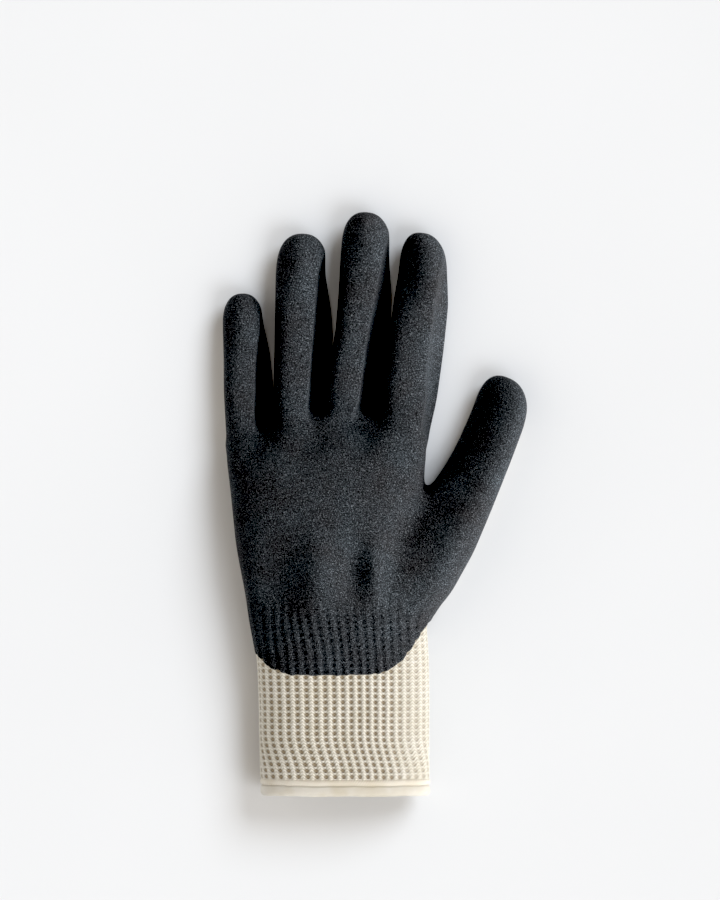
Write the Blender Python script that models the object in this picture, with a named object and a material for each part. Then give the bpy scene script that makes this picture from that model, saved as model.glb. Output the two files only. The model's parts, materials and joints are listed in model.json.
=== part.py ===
"""A right-hand gardening glove: a seamless knitted liner with a ribbed cuff, dipped in a palm coating.

The glove lies on its back with the palm up. +Y runs from the cuff to the fingertips, +X is the thumb
side and +Z the palm's normal. The origin is on the table under the middle of the glove's box.

The knit is soft, so each stall is cut at its knuckle lines into rigid shells that turn on hinges.
At a knuckle the two shells part along one thin cut, which opens into a V on the palm side,
where the real fabric folds.
"""

import math

import bmesh
import bpy
from mathutils import Matrix, Vector

MM = 0.001

# Walls, in millimetres.
LINER = 1.2
GAP = 0.3
COATING = 0.9
TAPE = 0.7
ELASTIC_RADIUS = 0.4

# Rings.
STALL_POINTS = 12
HAND_POINTS = 28
SQUARENESS = 2.3
DOME_ANGLES = (28, 56)

# Where the coating ends: the height of its edge along the sides of the hand and the stalls,
# and how far from a fingertip it starts and stops running down round the back.
COATING_EDGE = 6.0
TIP_WRAP_START = 17.0
TIP_WRAP_END = 8.0

# Knuckles.
PIVOT_HEIGHT = 11.5
CUT = 0.4
KNUCKLE_BEND = 85.0
THUMB_BEND = 75.0
WRIST_BEND = 45.0
WRIST_Y = -84.0
WRIST_PIVOT_HEIGHT = 13.0

# The cuff's end.
HEM_END = -125.1
TAPE_TOP = -120.9
THREAD_TOP = -118.6
RIB_END = HEM_END + TAPE + GAP

# Far enough to pass through everything that a cutter is meant to cut.
BEYOND = 60.0

# Each stall is drawn in its own frame: s runs from the base knuckle to the tip along the heading,
# and u runs across it. A station is (s, u, half width, lowest z, highest z).
STALLS = {
    "index": {
        "base": (13.5, 45.0),
        "heading": 6.4,
        "knuckles": (0.0, 22.0, 46.0),
        "tip": 70.6,
        "stations": (
            (-30, -4.5, 7.0, 3.0, 15.0),
            (-12, -1.0, 10.2, -0.8, 16.8),
            (0, 0.0, 10.1, -0.8, 16.0),
            (22, 0.3, 9.6, -0.8, 16.0),
            (46, 0.5, 9.5, -0.6, 16.0),
            (60, 0.0, 8.6, 2.0, 15.8),
        ),
    },
    "middle": {
        "base": (-8.8, 46.0),
        "heading": 4.3,
        "knuckles": (0.0, 25.0, 51.0),
        "tip": 78.1,
        "stations": (
            (-30, -2.0, 8.0, 3.0, 15.0),
            (-12, -1.4, 10.3, -0.8, 17.0),
            (0, 0.0, 9.8, -0.8, 16.4),
            (25, 0.7, 9.7, -0.8, 16.4),
            (51, 0.6, 9.6, -0.6, 16.4),
            (67.5, 0.0, 8.7, 2.0, 16.0),
        ),
    },
    "ring": {
        "base": (-32.7, 46.0),
        "heading": 1.2,
        "knuckles": (0.0, 22.0, 45.5),
        "tip": 68.7,
        "stations": (
            (-30, 0.0, 8.0, 3.0, 15.0),
            (-12, 0.0, 10.5, -0.8, 16.5),
            (0, 0.0, 10.3, -0.8, 16.0),
            (22, 0.3, 10.2, -0.8, 16.0),
            (45.5, 0.1, 9.9, -0.6, 16.0),
            (58, -0.2, 9.1, 2.0, 15.8),
        ),
    },
    "little": {
        "base": (-55.6, 39.5),
        "heading": -1.8,
        "knuckles": (0.0, 15.5, 32.0),
        "tip": 49.5,
        "stations": (
            (-24, 4.0, 6.0, 3.0, 13.0),
            (-10, 0.8, 8.2, -0.8, 15.4),
            (0, 0.1, 8.1, -0.8, 15.0),
            (15.5, 0.0, 8.0, -0.8, 15.0),
            (32, 0.0, 7.6, 0.0, 15.0),
            (42, 0.0, 6.8, 2.6, 14.8),
        ),
    },
    "thumb": {
        "base": (41.4, 12.0),
        "heading": 22.5,
        "knuckles": (0.0, 18.5),
        "tip": 44.4,
        "stations": (
            (-72, -14.0, 11.0, 3.0, 17.0),
            (-50, -8.0, 16.2, -0.8, 25.5),
            (-30, -5.6, 16.6, -0.8, 25.0),
            (-12, -1.2, 12.3, -0.8, 20.5),
            (0, 0.2, 11.2, -0.8, 17.5),
            (18.5, 0.2, 10.4, -0.6, 17.0),
            (34, 0.0, 9.7, 2.0, 16.8),
        ),
    },
}
SEGMENTS = ("base", "middle", "tip")

# The hand and cuff: (y, middle x, half width, flat underside, highest z).
HAND_STATIONS = (
    (-125.1, -12.2, 35.0, 1.1, 25.0),
    (-104, -12.6, 35.4, 1.0, 25.4),
    (-84, -12.9, 35.6, 0.4, 26.0),
    (-66, -13.8, 35.9, 0.0, 27.0),
    (-42, -16.6, 37.4, 0.0, 29.5),
    (-18, -19.0, 39.4, 0.0, 30.8),
    (4, -20.0, 40.6, 0.0, 29.5),
    (20, -20.8, 41.8, 0.0, 25.5),
    (29, -20.9, 41.2, 0.0, 21.5),
    (33.5, -21.2, 39.0, 0.0, 18.0),
)
HAND_TOP = 35.0
HAND_UNDERSIDE = -1.4
STALL_FLOOR = 0.2

# The coating's lower edge across the wrist, from the little finger's side to the thumb's.
COATING_WRIST_EDGE = (
    (-62, -60),
    (-50.5, -64),
    (-45, -70),
    (-34, -73),
    (6, -73),
    (14, -69.5),
    (20, -61),
    (24, -50),
    (34, -40),
)

KNIT_COLOUR = (0.62, 0.54, 0.40, 1.0)
TAPE_COLOUR = (0.66, 0.60, 0.49, 1.0)
THREAD_COLOUR = (0.70, 0.64, 0.53, 1.0)
ELASTIC_COLOUR = (0.75, 0.73, 0.68, 1.0)
COATING_COLOUR = (0.030, 0.033, 0.037, 1.0)


def clear_scene():
    for obj in list(bpy.data.objects):
        bpy.data.objects.remove(obj)


def new_collection(name):
    collection = bpy.data.collections.new(name)
    bpy.context.scene.collection.children.link(collection)
    return collection


def new_material(name, colour, roughness):
    material = bpy.data.materials.new(name)
    material.use_nodes = True
    shader = material.node_tree.nodes["Principled BSDF"]
    shader.inputs["Base Color"].default_value = colour
    shader.inputs["Roughness"].default_value = roughness
    shader.inputs["Metallic"].default_value = 0.0
    return material


def rounded(value):
    """A circle's sine or cosine, pushed outwards so that the ring is a soft rectangle."""
    return math.copysign(abs(value) ** (2 / SQUARENESS), value)


def ring(origin, heading, u, half_width, low, high, grow, count, floor=0.0):
    """Points of one cross-section, flat underneath where it would dip below the floor."""
    across = Vector((math.cos(heading), -math.sin(heading), 0))
    middle = (low + high) / 2
    half_height = (high - low) / 2 + grow
    points = []
    for i in range(count):
        angle = 2 * math.pi * (i + 0.5) / count
        offset = u + rounded(math.cos(angle)) * (half_width + grow)
        z = middle + rounded(math.sin(angle)) * half_height
        points.append(origin + across * offset + Vector((0, 0, max(z, floor - grow))))
    return points


def loft_mesh(name, rings, apex=None):
    """A closed skin through rings of equal count, with a flat far end or one drawn to a point."""
    mesh = bmesh.new()
    rows = [[mesh.verts.new(point * MM) for point in points] for points in rings]
    count = len(rows[0])
    for near, far in zip(rows, rows[1:]):
        for i in range(count):
            j = (i + 1) % count
            mesh.faces.new((near[i], near[j], far[j], far[i]))
    mesh.faces.new(rows[0][::-1])
    if apex is None:
        mesh.faces.new(rows[-1])
    else:
        point = mesh.verts.new(apex * MM)
        for i in range(count):
            mesh.faces.new((rows[-1][i], rows[-1][(i + 1) % count], point))
    bmesh.ops.recalc_face_normals(mesh, faces=mesh.faces)
    data = bpy.data.meshes.new(name)
    mesh.to_mesh(data)
    mesh.free()
    return data


def between(stations, at):
    """The station at a distance, straight between its neighbours or past the ends."""
    for near, far in zip(stations, stations[1:]):
        if at <= far[0] or far is stations[-1]:
            share = (at - near[0]) / (far[0] - near[0])
            return [a + (b - a) * share for a, b in zip(near, far)]
    return list(stations[0])


def stall_point(stall, s, u=0.0, z=0.0):
    heading = math.radians(stall["heading"])
    x, y = stall["base"]
    return Vector(
        (
            x + s * math.sin(heading) + u * math.cos(heading),
            y + s * math.cos(heading) - u * math.sin(heading),
            z,
        )
    )


def stall_ring(origin, heading, u, half_width, low, high, grow):
    return ring(origin, heading, u, half_width, low, high, grow, STALL_POINTS, STALL_FLOOR)


def stall_mesh(name, stall, grow, start, end=None):
    """The stall grown or shrunk all round, from start to end, or to its domed tip."""
    heading = math.radians(stall["heading"])
    stations = stall["stations"]
    last = stations[-1]
    stop = last[0] if end is None else end
    cuts = [start] + [station[0] for station in stations if start < station[0] < stop] + [stop]
    rings = []
    for s in cuts:
        _, u, half_width, low, high = between(stations, s)
        origin = stall_point(stall, s)
        rings.append(stall_ring(origin, heading, u, half_width, low, high, grow))
    if end is not None:
        return loft_mesh(name, rings)
    _, u, half_width, low, high = last
    reach = stall["tip"] - last[0] + grow
    for angle in DOME_ANGLES:
        scale = math.cos(math.radians(angle))
        origin = stall_point(stall, last[0] + reach * math.sin(math.radians(angle)))
        middle = (low + high) / 2
        half_height = (high - low) / 2 + grow
        rings.append(
            stall_ring(
                origin,
                heading,
                u,
                (half_width + grow) * scale - grow,
                middle - half_height * scale + grow,
                middle + half_height * scale - grow,
                grow,
            )
        )
    return loft_mesh(name, rings, apex=stall_point(stall, last[0] + reach, u, (low + high) / 2))


def hand_ring(y, grow, narrow=0.0):
    _, x, half_width, floor, high = between(HAND_STATIONS, y)
    origin = Vector((x, y, 0))
    low = HAND_UNDERSIDE
    return ring(origin, 0.0, 0.0, half_width - narrow, low, high, grow, HAND_POINTS, floor)


def hand_mesh(name, grow, start, end):
    """The hand's tube grown or shrunk all round, from the cuff's side to end."""
    top = min(end, HAND_TOP + grow)
    inner = [station[0] for station in HAND_STATIONS if start < station[0] < top]
    rows = [hand_ring(y, grow) for y in [start, *inner]]
    rows.append(hand_ring(top, grow, narrow=0.0 if top < HAND_TOP + grow else 1.5))
    return loft_mesh(name, rows)


def prism_mesh(name, outline, frame, half_depth):
    """An outline in a frame's first two axes, thickened both ways along its third."""
    mesh = bmesh.new()
    lower = [mesh.verts.new(frame @ (Vector((a, b, -half_depth)) * MM)) for a, b in outline]
    face = mesh.faces.new(lower)
    thick = frame.to_3x3() @ Vector((0, 0, 2 * half_depth * MM))
    grown = bmesh.ops.extrude_face_region(mesh, geom=[face])
    moved = [item for item in grown["geom"] if isinstance(item, bmesh.types.BMVert)]
    bmesh.ops.translate(mesh, vec=thick, verts=moved)
    bmesh.ops.recalc_face_normals(mesh, faces=mesh.faces)
    data = bpy.data.meshes.new(name)
    mesh.to_mesh(data)
    mesh.free()
    return data


def upright_frame(origin, heading):
    """First axis along the heading, second up and third across: the plane that a stall bends in."""
    along = Vector((math.sin(heading), math.cos(heading), 0))
    up = Vector((0, 0, 1))
    across = along.cross(up)
    matrix = Matrix((along, up, across)).transposed().to_4x4()
    return Matrix.Translation(origin * MM) @ matrix


def add_part(name, data, material):
    obj = bpy.data.objects.new(name, data)
    parts.objects.link(obj)
    data.materials.append(material)
    data.shade_smooth()
    data.set_sharp_from_angle(angle=math.radians(40))
    return obj


def add_cutter(name, data):
    obj = bpy.data.objects.new(name, data)
    cutters.objects.link(obj)
    obj.hide_render = True
    obj.display_type = "WIRE"
    return obj


def combine(obj, other, operation="DIFFERENCE"):
    modifier = obj.modifiers.new(f"{operation.lower()}_{other.name}"[:60], "BOOLEAN")
    modifier.operation = operation
    modifier.object = other
    modifier.solver = "EXACT"


def knuckle_cutters(name, origin, heading, pivot, bend, half_width, both_sides=False):
    """Two cutters at a hinge line. One removes all that lies past the hinge and one all before it.

    The cut is thin below the pivot and opens by the bend above it, half on each side of the line.
    """
    slope = math.tan(math.radians(bend / 2))
    rise = BEYOND / 2
    lean = CUT / 2 + rise * slope
    lower = (-CUT / 2 - rise * slope, -rise) if both_sides else (-CUT / 2, -rise)
    profile = [lower, (-CUT / 2, 0), (-lean, rise), (BEYOND, rise), (BEYOND, -rise)]
    frame = upright_frame(origin + Vector((0, 0, pivot)), heading)
    past = add_cutter(f"past_{name}", prism_mesh(name, profile, frame, half_width))
    flipped = [(-a, b) for a, b in profile]
    before = add_cutter(f"before_{name}", prism_mesh(name, flipped, frame, half_width))
    return past, before


def coating_edge_cutter(name, stall):
    """What lies below the coating's edge on a stall. The edge runs down round the back near the tip."""
    start = stall["stations"][0][0] - BEYOND
    tip = stall["tip"]
    profile = [
        (start, -BEYOND),
        (start, COATING_EDGE),
        (tip - TIP_WRAP_START, COATING_EDGE),
        (tip - TIP_WRAP_END, -6),
        (tip - TIP_WRAP_END, -BEYOND),
    ]
    frame = upright_frame(stall_point(stall, 0), math.radians(stall["heading"]))
    return add_cutter(f"under_{name}", prism_mesh(name, profile, frame, BEYOND / 2))


def make_stall(name, stall, knit, coating):
    """The shells past a stall's base knuckle, and the cutters that trim its root in the hand."""
    heading = math.radians(stall["heading"])
    bend = THUMB_BEND if name == "thumb" else KNUCKLE_BEND
    knuckles = []
    for i, s in enumerate(stall["knuckles"]):
        _, u, half_width, _, _ = between(stall["stations"], s)
        reach = half_width + GAP + COATING + 0.7
        origin = stall_point(stall, s, u)
        knuckles.append(
            knuckle_cutters(f"{name}_{i}", origin, heading, PIVOT_HEIGHT, bend, reach)
        )
    start = stall["stations"][0][0]
    bore = add_cutter(f"{name}_bore", stall_mesh("bore", stall, -LINER, start))
    seat = add_cutter(f"{name}_seat", stall_mesh("seat", stall, GAP, start))
    under = coating_edge_cutter(name, stall)
    labels = SEGMENTS if len(knuckles) == len(SEGMENTS) else (SEGMENTS[0], SEGMENTS[-1])
    overlap = 3.0
    for i, label in enumerate(labels):
        near = stall["knuckles"][i] - overlap
        last = i + 1 == len(knuckles)
        far = None if last else stall["knuckles"][i + 1] + overlap
        for kind, grow, inside, material in (
            ("liner", 0.0, bore, knit),
            ("coating", GAP + COATING, seat, coating),
        ):
            node = f"{name}_{label}_{kind}"
            shell = add_part(node, stall_mesh(node, stall, grow, near, far), material)
            combine(shell, inside)
            combine(shell, knuckles[i][1])
            if not last:
                combine(shell, knuckles[i + 1][0])
            if kind == "coating":
                combine(shell, under)
    return knuckles[0][0]


def hand_form(name, grow, end, reach, collection_add):
    """The hand's tube joined with the roots of the five stalls, all grown by the same amount."""
    form = collection_add(name, hand_mesh(name, grow, end, BEYOND))
    for stall_name, stall in STALLS.items():
        start = stall["stations"][0][0]
        root_mesh = stall_mesh("root", stall, grow, start, reach)
        root = add_cutter(f"{stall_name}_root_{name}", root_mesh)
        combine(form, root, "UNION")
    return form


def make_hand(knit, coating, stall_ends, wrist_past):
    """The knitted hand with its five stall roots, and the palm's coating over it."""
    def as_knit(name, data):
        return add_part(name, data, knit)

    def as_coating(name, data):
        return add_part(name, data, coating)

    liner = hand_form("hand_liner", 0.0, WRIST_Y - 12, 8.0, as_knit)
    combine(liner, hand_form("hand_bore", -LINER, WRIST_Y - 20, 11.0, add_cutter))
    palm = hand_form("palm_coating", GAP + COATING, WRIST_Y - 2, 9.0, as_coating)
    combine(palm, hand_form("palm_seat", GAP, WRIST_Y - 4, 12.0, add_cutter))
    for end in stall_ends:
        combine(liner, end)
        combine(palm, end)
    combine(liner, wrist_past)
    combine(palm, wrist_edge_cutter())
    combine(palm, below_edge_cutter())


def wrist_edge_cutter():
    """All that lies on the cuff's side of the coating's lower edge."""
    side = 2 * BEYOND
    outline = [(-side, -side), (-side, COATING_WRIST_EDGE[0][1])]
    outline += COATING_WRIST_EDGE
    outline += [(side, COATING_WRIST_EDGE[-1][1]), (side, -side)]
    return add_cutter("wrist_edge", prism_mesh("wrist_edge", outline, Matrix.Identity(4), BEYOND))


def below_edge_cutter():
    """All that lies lower than the coating's edge along the sides of the hand."""
    side = 3 * BEYOND
    outline = [(-side, -side), (side, -side), (side, side), (-side, side)]
    frame = Matrix.Translation(Vector((0, 0, COATING_EDGE - BEYOND)) * MM)
    return add_cutter("below_edge", prism_mesh("below_edge", outline, frame, BEYOND))


def cuff_band(name, grow_out, grow_in, low, high, material=None):
    """A band round the cuff between two offsets of the hand's tube and two distances along it."""
    outer = hand_mesh(name, grow_out, low, high)
    if material is None:
        band = add_cutter(name, outer)
    else:
        band = add_part(name, outer, material)
    hollow = add_cutter(f"{name}_inside", hand_mesh("inside", grow_in, low - 5, high + 5))
    combine(band, hollow)
    return band


def make_cuff(knit, tape_cloth, thread, elastic, wrist_before):
    """The ribbed cuff below the wrist line, its folded hem tape, overlock thread and elastic yarn."""
    rib = cuff_band("rib_cuff", 0.0, -LINER, RIB_END, WRIST_Y + 12, knit)
    combine(rib, wrist_before)
    outside = GAP + TAPE
    tape = cuff_band("hem_tape", outside, -LINER - outside, HEM_END, TAPE_TOP, tape_cloth)
    fold = cuff_band("tape_fold", GAP, -LINER - GAP, HEM_END + TAPE, TAPE_TOP + 5)
    combine(tape, fold)
    cuff_band("overlock_thread", outside - 0.1, GAP, TAPE_TOP + GAP, THREAD_TOP, thread)
    make_elastic(elastic)


def make_elastic(material):
    """One elastic yarn laid into the cuff's inner face in a helix."""
    low, high, turns, steps = THREAD_TOP + 2.5, WRIST_Y - 9.0, 4, 20
    inset = -(LINER + GAP + ELASTIC_RADIUS)
    curve = bpy.data.curves.new("elastic_yarn", "CURVE")
    curve.dimensions = "3D"
    curve.bevel_depth = ELASTIC_RADIUS * MM
    curve.bevel_resolution = 1
    curve.use_fill_caps = True
    spline = curve.splines.new("POLY")
    total = turns * steps
    spline.points.add(total)
    for i in range(total + 1):
        y = low + (high - low) * i / total
        _, x, half_width, floor, top = between(HAND_STATIONS, y)
        angle = 2 * math.pi * i / steps
        half_height = (top - HAND_UNDERSIDE) / 2 + inset
        z = (top + HAND_UNDERSIDE) / 2 + rounded(math.sin(angle)) * half_height
        across = x + rounded(math.cos(angle)) * (half_width + inset)
        spline.points[i].co = (across * MM, y * MM, max(z, floor - inset) * MM, 1.0)
    obj = bpy.data.objects.new("elastic_yarn", curve)
    parts.objects.link(obj)
    curve.materials.append(material)


clear_scene()
parts = new_collection("gardening_glove")
cutters = new_collection("cutters")

knit_material = new_material("knit_liner", KNIT_COLOUR, 0.9)
tape_material = new_material("hem_tape", TAPE_COLOUR, 0.85)
thread_material = new_material("overlock_thread", THREAD_COLOUR, 0.8)
elastic_material = new_material("elastic_yarn", ELASTIC_COLOUR, 0.6)
coating_material = new_material("palm_coating", COATING_COLOUR, 0.75)

wrist_past, wrist_before = knuckle_cutters(
    "wrist",
    Vector((between(HAND_STATIONS, WRIST_Y)[1], WRIST_Y, 0)),
    math.pi,
    WRIST_PIVOT_HEIGHT,
    WRIST_BEND,
    BEYOND,
    both_sides=True,
)
ends = [
    make_stall(name, stall, knit_material, coating_material) for name, stall in STALLS.items()
]
make_hand(knit_material, coating_material, ends, wrist_past)
make_cuff(knit_material, tape_material, thread_material, elastic_material, wrist_before)
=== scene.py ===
"""The looks of a right-hand dipped gardening glove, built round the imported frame.

Lengths are in millimetres until a mesh is made. X runs to the thumb, Y to the fingertips and Z up
from the table.
"""

import json
import math

import bpy
import numpy as np
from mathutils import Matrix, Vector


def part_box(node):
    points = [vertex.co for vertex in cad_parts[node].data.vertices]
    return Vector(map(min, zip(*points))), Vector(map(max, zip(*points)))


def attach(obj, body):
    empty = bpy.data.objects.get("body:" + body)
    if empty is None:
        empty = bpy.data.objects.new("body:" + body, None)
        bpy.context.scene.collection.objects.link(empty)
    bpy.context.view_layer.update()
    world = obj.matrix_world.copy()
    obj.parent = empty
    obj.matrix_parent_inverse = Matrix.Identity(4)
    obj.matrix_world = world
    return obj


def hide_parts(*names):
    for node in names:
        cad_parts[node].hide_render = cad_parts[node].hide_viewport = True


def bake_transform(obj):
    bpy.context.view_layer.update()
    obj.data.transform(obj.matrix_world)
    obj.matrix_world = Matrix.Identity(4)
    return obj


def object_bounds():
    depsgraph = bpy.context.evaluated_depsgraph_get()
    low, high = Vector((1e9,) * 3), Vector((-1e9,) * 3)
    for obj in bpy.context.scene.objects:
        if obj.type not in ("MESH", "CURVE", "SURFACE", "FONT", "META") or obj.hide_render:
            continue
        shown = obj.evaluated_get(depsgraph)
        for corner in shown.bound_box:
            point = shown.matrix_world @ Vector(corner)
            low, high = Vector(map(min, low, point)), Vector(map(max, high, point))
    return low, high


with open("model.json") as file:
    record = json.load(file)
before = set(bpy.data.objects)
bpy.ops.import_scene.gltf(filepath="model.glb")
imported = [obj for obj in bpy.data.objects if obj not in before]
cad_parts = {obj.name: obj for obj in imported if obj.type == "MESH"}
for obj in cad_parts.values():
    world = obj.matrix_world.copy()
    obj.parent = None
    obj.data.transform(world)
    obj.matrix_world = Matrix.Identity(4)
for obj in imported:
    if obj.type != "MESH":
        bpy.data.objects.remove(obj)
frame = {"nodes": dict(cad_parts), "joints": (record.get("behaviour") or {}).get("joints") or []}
CAD_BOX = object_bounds()

# ---------------------------------------------------------------- driving sizes

MM = 0.001
STEP = 0.55      # grid step of the skins
LINING_STEP = 1.2
SKIN = 1.0                              # coating over the knit
WALL = 1.3                              # knit wall
TABLE_GAP = 0.05                        # between the table and the lowest skin
FOOT_FILLET = 1.2                       # where the form's sides turn under to lie on the table
PALM_SQUARENESS = 2.5                   # of a section, where 2 is an ellipse
STALL_SQUARENESS = (2.5, 2.3)           # of a stall's left and right half
SLIM_SQUARENESS = 2.0                   # of a finger's left half near its tip
END_SQUARENESS = 2.4                    # of the domed ends
THUMB_LEAN = 0.12                       # rise of the thumb's section towards its outer side
THUMB_FALL = (0.36, 0.62)               # slope of the thumb's inner side, at its root and beyond
FINGER_LEAN = -0.2                      # the fingers fall towards the thumb's side instead

HEM_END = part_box("hem_tape")[0].y / MM
TAPE_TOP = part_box("overlock_thread")[0].y / MM
THREAD_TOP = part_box("overlock_thread")[1].y / MM + 0.8
RIB_END = -37.0                         # where the ribs run out into plain knit
RIBS = 46                               # round the cuff
COURSE = 2.66                           # height of one knitted row of the cuff
RIB_RELIEF = 0.95                       # height of the ribs over the bottom of the pits
RIB_DRIFT = [(0.0042, 1, 0.6), (0.0016, 2, 2.0), (0.004, 3, -1.94)]  # size, times round, phase
RIB_TWIST = 1.0                         # ribs by which the cuff is turned at its end
TWIST_START = -98.0                     # y where that turn sets in
CUFF_REACH = 62.0                       # further from the cuff's middle line than any of its knit
STRIP_PATTERN = 190.0                   # mm of weave that go once round the tape and the thread
STITCH_WIDTH = 1.9                      # of the plain knit
STITCH_HEIGHT = 1.5

# The coated outline of the hand: y, centre x, half width, underside, top.
HAND_STATIONS = [
    (HEM_END - 3, -12.4, 36.3, 0.0, 26.2),
    (-104.0, -12.8, 36.5, 0.0, 26.6),
    (-84.0, -12.9, 36.7, 0.0, 27.2),
    (-66.0, -13.4, 36.9, 0.0, 28.4),
    (-42.0, -16.6, 38.4, 0.0, 30.6),
    (-18.0, -19.0, 40.4, 0.0, 31.4),
    (4.0, -20.0, 41.6, 0.0, 29.6),
    (20.0, -20.8, 42.8, 0.0, 25.6),
    (29.0, -20.9, 42.6, 0.0, 20.6),
    (36.0, -21.0, 42.0, 0.0, 16.8),
]
HAND_TOP = 36.5                         # y where the hand ends between the fingers
HAND_DOME = 10.0                        # length over which it rounds off

# The palm's soft swells and hollows: height or depth, x and y, spread along x and y.
PALM_SWELLS = [(2.0, (0.8, -29), (4.5, 13)), (2.6, (-24, -29), (8, 16))]
PALM_HOLLOWS = [(2.1, (-8.8, -30), (4.8, 12)), (2.6, (-41, -33), (9, 16))]
# The valleys that run down from between the fingers: x where y is 30, and depth.
FINGER_VALLEYS = [(-48, 1.5), (-25, 1.0), (-3, 1.0)]
VALLEY_LEAN = 0.45                      # how far they run to the side for each mm up
# The dent along the thumb's mound and the one at the middle finger's root: depth, lean, y where the lean
# starts, x and y, spread along x and y.
DENTS = [(3.0, 0.35, -12, (14, -10), (7, 20)), (3.0, -0.5, 34, (-10, 33), (8, 6))]
# Heights between which the relief, the dents and the thumb's larger fillet set in.
RELIEF_HEIGHTS = (11, 17)
DENT_HEIGHTS = (10, 15)
FILLET_HEIGHTS = (11, 19)
STALL_MARGIN = 8.0                      # how far past its ends a stall still shapes the form
STALL_REACH = 34.0                      # and how far to its sides

# The coated outline of each stall: s along it from its base joint, centre u, half width, underside, top.
STALL_STATIONS = {
    "index": [
        (-30, 1.0, 10.2, 1.0, 16.0), (-12, 0.8, 11.7, -1.5, 18.4), (0, 1.5, 12.0, -1.5, 17.6),
        (22, 2.0, 12.0, -1.5, 17.2), (42, 2.0, 11.9, -1.2, 17.2), (60, 0.6, 10.7, 0.0, 17.0),
        (72, -0.9, 9.8, 1.0, 16.6),
    ],
    "middle": [
        (-30, -2.0, 9.0, 1.0, 14.0), (-12, -0.6, 11.2, -1.5, 16.4), (-2, 0.3, 12.9, -1.5, 17.2),
        (12, 1.0, 13.0, -1.5, 17.8), (27, 2.3, 12.3, -1.5, 17.6), (44, 2.2, 12.1, -1.2, 17.6),
        (60, 0.8, 11.1, -0.5, 17.4), (79, -0.4, 10.1, 1.0, 17.0),
    ],
    "ring": [
        (-30, 0.0, 9.0, 1.0, 16.0), (-12, 0.2, 11.2, -1.5, 18.0), (2, 1.4, 12.0, -1.5, 17.6),
        (14, 1.7, 12.4, -1.5, 17.4), (25, 2.4, 13.1, -1.5, 17.2), (38, 1.8, 12.6, -1.2, 17.2),
        (54, 0.3, 11.2, 0.0, 17.0), (70, 0.5, 10.5, 1.0, 16.8),
    ],
    "little": [
        (-24, 0.8, 8.8, 0.5, 14.0), (-10, 1.4, 10.0, -1.5, 16.8), (8, 2.2, 11.2, -1.5, 16.2),
        (26, 1.8, 10.4, -1.0, 16.0), (40, 0.2, 8.8, 0.0, 15.8), (51, 0.2, 8.3, 1.0, 15.6),
    ],
    "thumb": [
        (-72, -12.5, 13.5, 2.0, 19.0), (-62, -9.5, 16.5, 0.0, 25.5), (-50, -7.0, 18.2, -1.5, 29.5),
        (-30, -4.9, 18.4, -1.5, 29.5), (-12, -0.4, 14.1, -1.5, 24.5), (0, 0.8, 12.8, -1.5, 19.6),
        (13, 1.3, 12.1, -1.3, 18.4), (28, 1.1, 11.8, -0.5, 18.2), (37, 0.0, 11.3, 0.5, 18.0),
        (45, -1.5, 10.8, 1.0, 17.4),
    ],
}
# The fold along each finger's right flank: s, and its place across the finger as a share of the half width.
FOLDS = {
    "index": [
        (-24, 0.65), (-14, 0.6), (0, 0.56), (15, 0.45), (42, 0.47), (55, 0.65), (66, 0.92), (72, 1.1),
    ],
    "middle": [
        (-16, 0.15), (-2, 0.15), (12, 0.16), (24, 0.14), (33, 0.2), (46, 0.37), (58, 0.57), (70, 0.88),
        (79, 1.1),
    ],
    "ring": [
        (-16, 0.35), (-4, 0.25), (12, 0.27), (24, 0.25), (37, 0.35), (54, 0.62), (63, 0.9), (70, 1.1),
    ],
    "little": [(-16, 0.45), (0, 0.16), (17, 0.26), (26, 0.38), (38, 0.8), (51, 1.1)],
}
# How hollow the flank under the fold is, where 1 is a straight slope, and the height at which it meets
# the outline.
FLANKS = {"index": (1.7, 4.0), "middle": (2.2, 0.0), "ring": (2.2, 0.0), "little": (2.2, 0.0)}
# Near its tip each finger's left side falls away from a crest, at a share of the half width, over a length.
LEFT_FALLS = {"index": (0.15, 52), "middle": (-0.35, 42), "ring": (-0.4, 36), "little": (-0.4, 34)}
LEFT_SLOPE = 0.6
# Each stall's end along s, the length of its domed end, and the fillet where it meets the palm.
TIPS = {"index": 71.6, "middle": 79.3, "ring": 69.9, "little": 50.7, "thumb": 44.9}
DOMES = {"index": 15.0, "middle": 15.0, "ring": 15.0, "little": 13.0, "thumb": 14.0}
FILLETS = {"index": 4.0, "middle": 4.0, "ring": 4.0, "little": 3.0, "thumb": 6.0}
THUMB_FILLET = 9.0                      # on top, where the thumb's mound runs into the palm
# Where each stall's pieces meet along s, and how far each hinge's bend reaches before and after its joint.
BORDERS = {
    "index": (-7.0, 10.5, 34.5), "middle": (-7.0, 12.0, 38.5), "ring": (-7.0, 10.5, 34.3),
    "little": (-6.3, 7.2, 23.7), "thumb": (-9.3, 9.0),
}
BASE_BEND = {
    "index": (5.5, 7.0), "middle": (5.5, 7.0), "ring": (5.5, 7.0), "little": (5.0, 5.0),
    "thumb": (7.5, 7.5),
}
KNUCKLE_BEND = {"index": (8, 7), "middle": (8, 7), "ring": (8, 7), "little": (6, 6), "thumb": (8,)}

# The coating's lower edge across the wrist: x, y.
WRIST_LINE = [
    (-64, -58), (-50.5, -64.5), (-45, -70.3), (-36, -73.2), (-15, -73.2), (3, -72.6),
    (12, -67.2), (18, -58.4), (23.4, -50.5), (27, -48.5), (34, -47),
]
SIDE_LINE = 6.0                         # height of the coating's edge along the sides
SIDE_DROP = 5.0                         # how much lower it is where the flank is coated all the way
TIP_WRAP = 17.0                         # how far back from the tip the coating wraps the stall's back
NO_WRAP = -20.0                         # what stands for a place far from every such line
LINING_END = -55.0                      # y up to which the lining belongs to the cuff

# ---------------------------------------------------------------- small maths


def smooth_min(a, b, width):
    """The lower of two distances, with a fillet of about that width where they meet."""
    share = np.maximum(width - np.abs(a - b), 0) / width
    return np.minimum(a, b) - share * share * width / 4


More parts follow.
